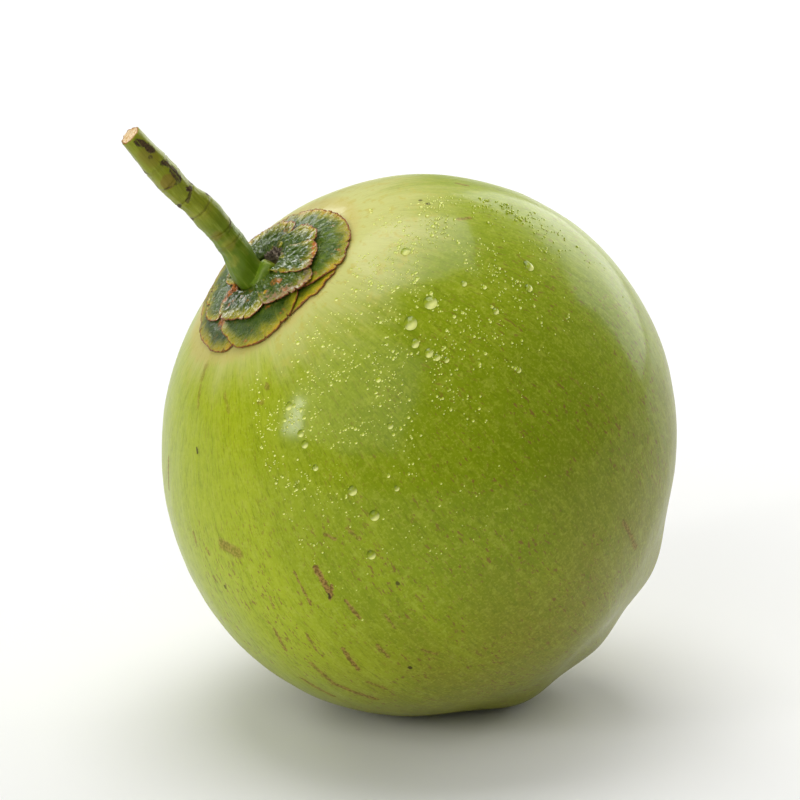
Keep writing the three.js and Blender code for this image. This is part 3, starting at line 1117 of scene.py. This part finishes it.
def add_leaf(shape, settings, leaf, seed):
    """Adds one leaf: a sheet laid out from the stem to its rim, then given its thickness."""
    rim, middle_height, crumple, dryness = leaf
    columns = int(LEAF_COLUMNS_PER_DEGREE * (rim[-1][0] - rim[0][0]))
    sheet = bmesh.new()
    place_key = sheet.verts.layers.float_vector.new("place")
    rim_key = sheet.verts.layers.float.new("from_rim")
    dry_key = sheet.verts.layers.float.new("dryness")
    drop_key = sheet.verts.layers.float.new("drop")
    bmesh.ops.create_grid(sheet, x_segments=LEAF_ROWS, y_segments=columns, size=0.5)
    shift = Vector((seed * 3.7, seed * 1.9, seed * 5.1))
    for corner in sheet.verts:
        share = (corner.co.x + 0.5) ** 0.85
        turn, reach, rim_height = along_rim(rim, corner.co.y + 0.5)
        angle = math.radians(turn)
        way = Vector((math.cos(angle), math.sin(angle), 0))
        nick = noise.noise(way * 9 + shift)
        reach += torn(nick, way, shift, dryness)
        start = Vector((
            STEM_MIDDLE[0] + STEM_OVAL[0] * way.x, STEM_MIDDLE[1] + STEM_OVAL[1] * way.y, 0))
        flat = start.lerp(way * reach, share)
        height = lerp(1.1 + 0.3 * middle_height, middle_height, smooth(share / 0.4))
        height = lerp(height, rim_height, smooth((share - 0.5) / 0.5))
        height += lifted(flat, turn, share, crumple, shift, seed)
        height += 0.35 * dryness * nick * smooth((share - 0.7) / 0.3)
        thick = lerp(settings.thickness, settings.rim_thickness, smooth(share)) / MM
        top = over_calyx(flat.x, flat.y, max(height, 0.5))
        low = over_calyx(flat.x, flat.y, max(height - thick, 0.12))
        corner[place_key] = top / MM
        corner[rim_key] = (1 - share) * (reach - 9)
        corner[dry_key] = dryness
        corner[drop_key] = (top - low).length
        corner.co = top
    extruded = bmesh.ops.extrude_face_region(
        sheet, geom=list(sheet.faces), use_keep_orig=True)["geom"]
    for corner in extruded:
        if isinstance(corner, bmesh.types.BMVert):
            corner.co -= corner.co.normalized() * corner[drop_key]
    for corner in sheet.verts:
        corner.co = to_row(corner.co)
    bmesh.ops.recalc_face_normals(sheet, faces=sheet.faces)
    join(shape, sheet)


# Shades of the scales besides those in their settings.
LEAF_MOTTLE = srgb(98, 122, 28)
VEIN = srgb(128, 142, 44)
DEEP_LEAF = srgb(34, 60, 6)
AMBER = srgb(214, 160, 30)
OLD_LEAF = srgb(150, 150, 40)
TORN_BROWN = srgb(150, 112, 84)
RUST = srgb(184, 104, 42)
ORANGE = srgb(200, 110, 42)
PALE_EDGE = srgb(176, 104, 58)

# Orange worn patches: angle about the axis, distance from it and height over the skin at each
# end, half the width and the soft edge in millimetres, and the strength.
SCALE_PATCHES = (
    ((172, 13.5, 2.5), (184, 15.5, 2.5), 1.8, 1.2, 0.9),
    ((284, 15.0, 3.0), (289, 18.0, 3.0), 0.4, 1.2, 0.75),
    ((322, 24.8, 3.6), (333, 23.2, 3.6), 0.5, 0.7, 0.8),
    ((206, 21.5, 1.8), (212, 22.5, 1.8), 1.2, 1.0, 0.7),
)


def calyx_spot(turn, out, height):
    """A place over the scales in the fruit's frame, in millimetres."""
    angle = math.radians(turn)
    return over_calyx(out * math.cos(angle), out * math.sin(angle), height) / MM


def scale_material(name, settings, darkness, wetness):
    material, nodes, shader = new_material(name)
    place = nodes.attribute("place")
    from_rim = nodes.attribute("from_rim", "Fac")
    dryness = nodes.attribute("dryness", "Fac")
    unrolled = nodes.group(group_called("Unroll Fruit"), {"Place": place})[0]
    veins = streaks(nodes, unrolled, 26.0, 26.0, 3.0)
    cloud = nodes.noise(place, 0.16, 4.0, 0.6)
    blot = nodes.noise(place, 0.5, 4.0, 0.65)
    grain = nodes.noise(place, 2.6, 3.0, 0.6)

    colour = nodes.glaze(settings.inner, LEAF_MOTTLE, blot, 0.35, 0.7)
    colour = nodes.glaze(colour, VEIN, veins, 0.5, 0.75, 0.5)
    shade = nodes.between(dryness, 0.35, 0.05, darkness, 0.6)
    colour = nodes.mix(shade, colour, DEEP_LEAF)

    # Yellow green, then yellow and orange, towards the rim.
    depth = nodes.math("MULTIPLY_ADD", cloud, 9.0, from_rim)
    depth = nodes.math("SUBTRACT", depth, 4.5)
    colour = nodes.glaze(colour, settings.outer, depth, 5.0, 0.4, 0.8)
    colour = nodes.glaze(colour, AMBER, depth, 1.4, -0.6, 0.6)
    near_stem = nodes.between(from_rim, 12.0, 22.0, 0.0, 0.5)
    near_stem = nodes.math("MULTIPLY", near_stem, nodes.between(cloud, 0.42, 0.62))
    colour = nodes.mix(near_stem, colour, OLD_LEAF)

    # Dried and torn skin on the driest leaves.
    dried = nodes.math("MULTIPLY_ADD", dryness, 0.34, nodes.math("MULTIPLY", blot, 0.75))
    toward = nodes.between(from_rim, 9.0, 0.5, 0.0, 0.2)
    dried = nodes.math("ADD", dried, toward)
    paper = nodes.between(dried, 0.74, 0.84)
    paper_colour = nodes.glaze(settings.paper, TORN_BROWN, grain, 0.4, 0.65)
    colour = nodes.mix(nodes.math("MULTIPLY", paper, 0.85), colour, paper_colour)
    rust = nodes.math("MULTIPLY", nodes.between(cloud, 0.56, 0.68), nodes.between(blot, 0.5, 0.6))
    colour = nodes.mix(nodes.math("MULTIPLY", rust, 0.8), colour, RUST)

    wobble = nodes.math("MULTIPLY_ADD", nodes.noise(place, 0.8, 3.0, 0.7), 3.0, -1.5)
    drawn = [
        (calyx_spot(*start), calyx_spot(*end), *look) for start, end, *look in SCALE_PATCHES]
    patch = marks(nodes, place, wobble, drawn)
    patch = nodes.math("MULTIPLY", patch, nodes.between(blot, 0.4, 0.52, 0.25, 1.0))
    colour = nodes.mix(patch, colour, ORANGE)

    # The thin dry edge.
    edge = nodes.math("MULTIPLY_ADD", nodes.noise(place, 0.9, 3.0, 0.6), 1.5, -0.75)
    edge = nodes.math("ADD", from_rim, edge)
    dry_edge = nodes.between(edge, 0.55, 0.15)
    edge_colour = nodes.glaze(settings.dry, PALE_EDGE, grain, 0.42, 0.66)
    colour = nodes.mix(nodes.math("MULTIPLY", dry_edge, 0.95), colour, edge_colour)

    nodes.put(shader.inputs["Base Color"], colour)
    dull = nodes.math("MAXIMUM", nodes.math("MAXIMUM", paper, dry_edge), patch)
    rough = nodes.between(blot, 0.3, 0.7, 0.2 + 0.1 * (1 - wetness), 0.42)
    rough = nodes.math("MULTIPLY_ADD", dull, 0.25, rough)
    nodes.put(shader.inputs["Roughness"], rough)
    shader.inputs["Coat Weight"].default_value = wetness
    shader.inputs["Coat Roughness"].default_value = 0.06
    shader.inputs["Specular IOR Level"].default_value = 0.25
    shader.inputs["Specular Tint"].default_value = GLOSS_TINT
    wrinkle = nodes.noise(place, 0.75, 4.0, 0.65, 0.6)
    normal = bump(nodes, wrinkle, 1.6 * MM, 0.75)
    normal = bump(nodes, veins, 0.4 * MM, 0.5, normal)
    normal = bump(nodes, grain, 0.12 * MM, 0.5, normal)
    nodes.put(shader.inputs["Normal"], normal)
    return material


def add_scales(context, layer, darkness, wetness):
    settings = context.scene.coconut_scales
    material = scale_material(layer.replace("_", " "), settings, darkness, wetness)
    for name, leaves in LEAVES.items():
        if not name.startswith(layer):
            continue
        shape = bmesh.new()
        for number, leaf in enumerate(leaves):
            seed = 2 * list(LEAVES).index(name) + number + 1
            add_leaf(shape, settings, leaf, seed)
        shape.normal_update()
        finish_piece(context, "leafy_" + name, shape, material, layer + "s", name)


class COCONUT_OT_lower_scales(Operator):
    """Builds the three broad scales that lie on the husk"""

    bl_idname = "coconut.lower_scales"
    bl_label = "Lower scales"

    def execute(self, context):
        add_scales(context, "lower_scale", darkness=0.05, wetness=0.3)
        return {"FINISHED"}


class COCONUT_OT_upper_scales(Operator):
    """Builds the three smaller scales that lie over the others, round the stalk"""

    bl_idname = "coconut.upper_scales"
    bl_label = "Upper scales"

    def execute(self, context):
        add_scales(context, "upper_scale", darkness=0.3, wetness=0.6)
        return {"FINISHED"}


DARK_FIBRES = srgb(62, 50, 36)
PALE_FIBRES = srgb(150, 134, 112)
DAMP_FIBRES = srgb(44, 32, 20)

# Each scrap: angle about the axis, distance from it, width and height in millimetres, and seed.
SCRAPS = (
    (22, 5.8, 3.6, 2.0, 1), (40, 5.8, 4.4, 2.6, 2), (58, 6.0, 4.4, 2.8, 3),
    (30, 7.4, 4.6, 2.2, 4), (48, 7.6, 4.8, 2.6, 5), (76, 7.0, 4.0, 2.2, 6),
)
SCRAP_THICKNESS = 0.4 * MM


def bract_material():
    material, nodes, shader = new_material("Dried bract")
    place = nodes.attribute("place")
    fibre = nodes.noise(nodes.vector("MULTIPLY", place, (2.2, 2.2, 0.35)), 1.0, 4.0, 0.7)
    blot = nodes.noise(place, 0.7, 3.0, 0.6)
    colour = nodes.glaze(DARK_FIBRES, PALE_FIBRES, fibre, 0.3, 0.7)
    colour = nodes.glaze(colour, DAMP_FIBRES, blot, 0.5, 0.7, 0.7)
    nodes.put(shader.inputs["Base Color"], colour)
    nodes.put(shader.inputs["Roughness"], nodes.between(fibre, 0.3, 0.7, 0.6, 0.85))
    nodes.put(shader.inputs["Normal"], bump(nodes, fibre, 0.5 * MM, 0.8))
    return material


class COCONUT_OT_dried_bract(Operator):
    """Builds the dried scraps of bract that are left beside the stalk"""

    bl_idname = "coconut.dried_bract"
    bl_label = "Dried bract"

    def execute(self, context):
        shape = bmesh.new()
        for scrap in SCRAPS:
            self.add_scrap(shape, *scrap)
        shape.normal_update()
        finish_piece(
            context, "crumpled_bract", shape, bract_material(), "dried_bract", "dried_bract")
        return {"FINISHED"}

    def add_scrap(self, shape, turn, out, width, tall, seed):
        scrap = bmesh.new()
        place_key = scrap.verts.layers.float_vector.new("place")
        bmesh.ops.create_grid(scrap, x_segments=22, y_segments=22, size=0.5)
        angle = math.radians(turn)
        way = Vector((math.cos(angle), math.sin(angle), 0))
        side = Vector((-way.y, way.x, 0))
        for corner in scrap.verts:
            across, up = corner.co.x, corner.co.y + 0.5
            spot = Vector((across * 3, up * 3, seed * 2.3))
            curl = 1.1 * noise.noise(spot) + 0.5 * noise.noise(spot * 2.4)
            narrow = 1 - 0.55 * up ** 1.5
            flat = way * (out + curl * up + 0.5 * up) + side * (across * width * narrow)
            ragged = 1 + 0.22 * noise.noise(Vector((across * 7, seed, 0)))
            height = 0.6 + tall * up * ragged
            corner.co = over_calyx(flat.x, flat.y, height)
        extruded = bmesh.ops.extrude_face_region(
            scrap, geom=list(scrap.faces), use_keep_orig=True)["geom"]
        for corner in extruded:
            if isinstance(corner, bmesh.types.BMVert):
                corner.co -= way * SCRAP_THICKNESS
        for corner in scrap.verts:
            corner[place_key] = corner.co / MM
            corner.co = to_row(corner.co)
        bmesh.ops.recalc_face_normals(scrap, faces=scrap.faces)
        join(shape, scrap)


# The drops that stand out: polar and around on the skin, radius in millimetres, and how far
# the drop has run down, as a share of its radius.
LARGE_DROPS = (
    (47.6, -43.2, 2.5, 0.1), (46.6, -51.9, 2.4, 0.3), (50.2, -56.0, 1.5, 0.4),
    (53.9, -55.8, 1.5, 0.3), (55.9, -55.3, 1.2, 0.2), (57.9, -54.3, 1.0, 0.2),
    (37.0, -28.0, 1.6, 0.1), (40.8, -97.8, 1.3, 0.6), (47.4, -97.7, 1.2, 0.3),
    (49.9, -98.0, 1.3, 0.3), (55.4, -98.2, 1.1, 0.2), (64.0, -92.9, 1.7, 0.2),
    (71.1, -91.9, 1.8, 0.2), (77.7, -97.8, 1.6, 0.2), (63.8, -18.8, 1.8, 0.8),
    (65.4, -25.1, 1.4, 0.3), (69.5, -84.0, 1.0, 0.2), (58.5, -76.0, 1.1, 0.2),
    (61.0, -36.0, 1.2, 0.2), (52.0, -33.0, 1.1, 0.2), (72.0, -45.0, 1.0, 0.3),
)


MIST_POLAR = (27, 92)  # the mist lies between these angles on the skin, thickest in the middle
MIST_AROUND = (-112, 6)
MIST_THICKEST = 50
MIST_SPREAD = 24
LARGEST_MIST = 1.1 * MM

# Painted shade and painted light of a drop, from where the light enters to where it gathers.
SHADED_WATER = srgb(112, 132, 12)
HALF_LIT_WATER = srgb(170, 186, 40)
LIT_WATER = srgb(242, 244, 160)
PAINTED_GLOW_COLOUR = srgb(240, 244, 140)


def water_material(name, clearness, glow_strength):
    """Water whose light is painted: painted shade where the light enters, and a painted highlight
    and glow on the far side.
    """
    material, nodes, shader = new_material(name)
    lit = nodes.attribute("lit", "Fac")
    colour = nodes.glaze(SHADED_WATER, HALF_LIT_WATER, lit, -0.9, -0.2)
    colour = nodes.glaze(colour, LIT_WATER, lit, -0.2, 0.7)
    nodes.put(shader.inputs["Base Color"], colour)
    # A painted glow on the drop's lit side; the drop is no lamp.
    painted_glow = nodes.glaze((0.0, 0.0, 0.0), PAINTED_GLOW_COLOUR, lit, 0.0, 0.8)
    nodes.put(shader.inputs["Emission Color"], painted_glow)
    shader.inputs["Emission Strength"].default_value = glow_strength
    shader.inputs["Roughness"].default_value = 0.02
    shader.inputs["Transmission Weight"].default_value = clearness
    shader.inputs["IOR"].default_value = 1.333
    return material


class COCONUT_OT_water_drops(Operator):
    """Strews clear drops of water over the upper side of the husk"""

    bl_idname = "coconut.water_drops"
    bl_label = "Water drops"

    def execute(self, context):
        settings = context.scene.coconut_drops
        draw = random.Random(11)
        shape = bmesh.new()
        shape.verts.layers.float.new("lit")
        for polar, around, radius, run in LARGE_DROPS:
            self.add_drop(shape, polar, around, radius * MM, run, (20, 12))
        shape.normal_update()
        finish_piece(context, "water_drops", shape, water_material("Water", 0.35, 0.3), "water")

        shape = bmesh.new()
        shape.verts.layers.float.new("lit")
        placed = 0
        while placed < settings.mist:
            polar, around = draw.uniform(*MIST_POLAR), draw.uniform(*MIST_AROUND)
            wet = noise.noise(direction(polar, around) * 7 + Vector((3, 1, 4)))
            upper = bell(polar - MIST_THICKEST, MIST_SPREAD)
            if draw.random() > upper * smooth(0.55 + 1.2 * wet):
                continue
            radius = min(settings.mist_size * draw.lognormvariate(0, 0.38), LARGEST_MIST)
            self.add_drop(shape, polar, around, radius, draw.uniform(0, 0.6), (8, 5))
            placed += 1
        shape.normal_update()
        finish_piece(context, "water_mist", shape, water_material("Mist", 0.0, 0.28), "water")
        return {"FINISHED"}

    def add_drop(self, shape, polar, around, radius, run, rings):
        """A low dome that sits in the skin and has run a little way down."""
        point = to_row(over_skin(polar, around))
        ahead = to_row(over_skin(polar + 0.2, around)) - point
        aside = to_row(over_skin(polar, around + 0.2)) - point
        normal = ahead.cross(aside).normalized()
        down = Vector((0, 0, -1)) + normal * normal.z
        down.normalize()
        across = normal.cross(down)
        drop = bmesh.new()
        lit_key = drop.verts.layers.float.new("lit")
        bmesh.ops.create_uvsphere(drop, u_segments=rings[0], v_segments=rings[1], radius=1)
        for corner in drop.verts:
            low = corner.co.x
            # Painted light: every drop is lit on its lower side, towards one side, and shaded on
            # its upper side, whatever the lamps.
            corner[lit_key] = 0.8 * low + 0.6 * corner.co.y
            wide = 1 - 0.25 * run * (0.5 - 0.5 * low)
            long = 1 + run * (0.6 if low < 0 else 0.1)
            tall = 0.62 * (1 + 0.25 * low)
            corner.co = (
                point - normal * radius * 0.1
                + down * (low * radius * long)
                + across * (corner.co.y * radius * wide)
                + normal * (corner.co.z * radius * tall)
            )
        join(shape, drop)


# Each lamp's place, width and height in metres, and its power. They face the fruit's middle.
LAMPS = {
    "left_softbox": ((-0.7, -1.15, 1.0), 1.4, 1.2, 10),
    "strip_light": ((-1.29, -0.76, 0.6), 0.1, 0.4, 3.8),
    "top_softbox": ((-0.1, 0.35, 1.35), 1.0, 0.9, 12),
    "right_back_softbox": ((0.8, 1.1, 0.5), 1.4, 0.9, 11),
    "left_back_softbox": ((-0.78, 1.2, 0.6), 0.6, 0.4, 3.5),
}
GLOW_FROM = (0.5, 0.7, 0.4)  # the room's own soft light is stronger from this side
GLOW = (0.16, 0.34)
WHITE = (1.0, 1.0, 1.0)


def add_area_light(context, name, target, place, width, height, power):
    light = bpy.data.lights.new(name, "AREA")
    light.shape = "RECTANGLE"
    light.size, light.size_y = width, height
    light.energy = power
    lamp = bpy.data.objects.new(name, light)
    lamp.location = place
    way = Vector(target) - Vector(place)
    lamp.rotation_euler = way.to_track_quat("-Z", "Y").to_euler()
    lamp.visible_camera = False
    context.scene.collection.objects.link(lamp)


def floor_material(settings):
    material, nodes, shader = new_material("Floor")
    place = nodes.add("TexCoord").outputs["Object"]
    tone = nodes.noise(place, 3.0, 3.0, 0.5)
    paler = tuple(min(channel * 1.03, 1.0) for channel in settings.floor)
    nodes.put(shader.inputs["Base Color"], nodes.mix(tone, settings.floor, paler))
    nodes.put(shader.inputs["Roughness"], nodes.between(tone, 0.3, 0.7, 0.6, 0.7))
    return material


class COCONUT_OT_stage(Operator):
    """Builds the floor, the lights and the camera"""

    bl_idname = "coconut.stage"
    bl_label = "Stage"

    def execute(self, context):
        settings = context.scene.coconut_stage
        shape = bmesh.new()
        bmesh.ops.create_grid(shape, x_segments=8, y_segments=8, size=6)
        mesh = bpy.data.meshes.new("floor")
        shape.to_mesh(mesh)
        shape.free()
        mesh.materials.append(floor_material(settings))
        floor = bpy.data.objects.new("floor", mesh)
        context.scene.collection.objects.link(floor)

        low, high = cad_box
        middle = (low + high) / 2
        for name, lamp in LAMPS.items():
            add_area_light(context, name, middle, *lamp)
        self.add_world(context)

        camera = bpy.data.cameras.new("camera")
        camera.lens = settings.lens
        viewer = bpy.data.objects.new("camera", camera)
        back = Vector((0, -math.cos(settings.elevation), math.sin(settings.elevation)))
        viewer.location = middle + back * settings.distance
        viewer.rotation_euler = (-back).to_track_quat("-Z", "Y").to_euler()
        context.scene.collection.objects.link(viewer)
        context.scene.camera = viewer
        context.scene.view_settings.view_transform = "Standard"
        return {"FINISHED"}

    def add_world(self, context):
        world = bpy.data.worlds.new("studio")
        world.use_nodes = True
        world.node_tree.nodes.clear()
        nodes = Nodes(world.node_tree)
        seen = nodes.add("Background", {"Color": WHITE, "Strength": 1.0})
        way = nodes.add("TexCoord").outputs["Generated"]
        behind = nodes.vector("DOT_PRODUCT", way, GLOW_FROM, output="Value")
        glow = nodes.between(behind, -0.7, 0.8, *GLOW)
        cast = nodes.add("Background", {"Color": WHITE, "Strength": glow})
        camera_ray = nodes.add("LightPath").outputs["Is Camera Ray"]
        chosen = nodes.add("MixShader", {0: camera_ray, 1: cast.outputs[0], 2: seen.outputs[0]})
        output = nodes.add("OutputWorld")
        world.node_tree.links.new(chosen.outputs[0], output.inputs["Surface"])
        context.scene.world = world


OPERATORS = (
    COCONUT_OT_husk,
    COCONUT_OT_stalk,
    COCONUT_OT_lower_scales,
    COCONUT_OT_upper_scales,
    COCONUT_OT_dried_bract,
    COCONUT_OT_water_drops,
    COCONUT_OT_stage,
)


class COCONUT_PT_panel(Panel):
    """Lists the coconut's pieces"""

    bl_idname = "COCONUT_PT_panel"
    bl_label = "Green coconut"
    bl_space_type = "VIEW_3D"
    bl_region_type = "UI"
    bl_category = "Coconut"

    def draw(self, context):
        for operator in OPERATORS:
            self.layout.operator(operator.bl_idname)
        for name in SETTINGS:
            box = self.layout.box()
            group = getattr(context.scene, name)
            for field in group.bl_rna.properties:
                if field.identifier not in {"rna_type", "name"}:
                    box.prop(group, field.identifier)


SETTINGS = {
    "coconut_husk": HuskSettings,
    "coconut_stalk": StalkSettings,
    "coconut_scales": ScaleSettings,
    "coconut_drops": DropSettings,
    "coconut_stage": StageSettings,
}


def register():
    for group in SETTINGS.values():
        bpy.utils.register_class(group)
    for name, group in SETTINGS.items():
        setattr(bpy.types.Scene, name, PointerProperty(type=group))
    for operator in OPERATORS:
        bpy.utils.register_class(operator)
    bpy.utils.register_class(COCONUT_PT_panel)


def unregister():
    bpy.utils.unregister_class(COCONUT_PT_panel)
    for operator in reversed(OPERATORS):
        bpy.utils.unregister_class(operator)
    for name, group in SETTINGS.items():
        delattr(bpy.types.Scene, name)
        bpy.utils.unregister_class(group)


def main():
    register()
    bpy.ops.coconut.husk()
    bpy.ops.coconut.stalk()
    bpy.ops.coconut.lower_scales()
    bpy.ops.coconut.upper_scales()
    bpy.ops.coconut.dried_bract()
    bpy.ops.coconut.water_drops()
    bpy.ops.coconut.stage()


if __name__ == "__main__":
    main()
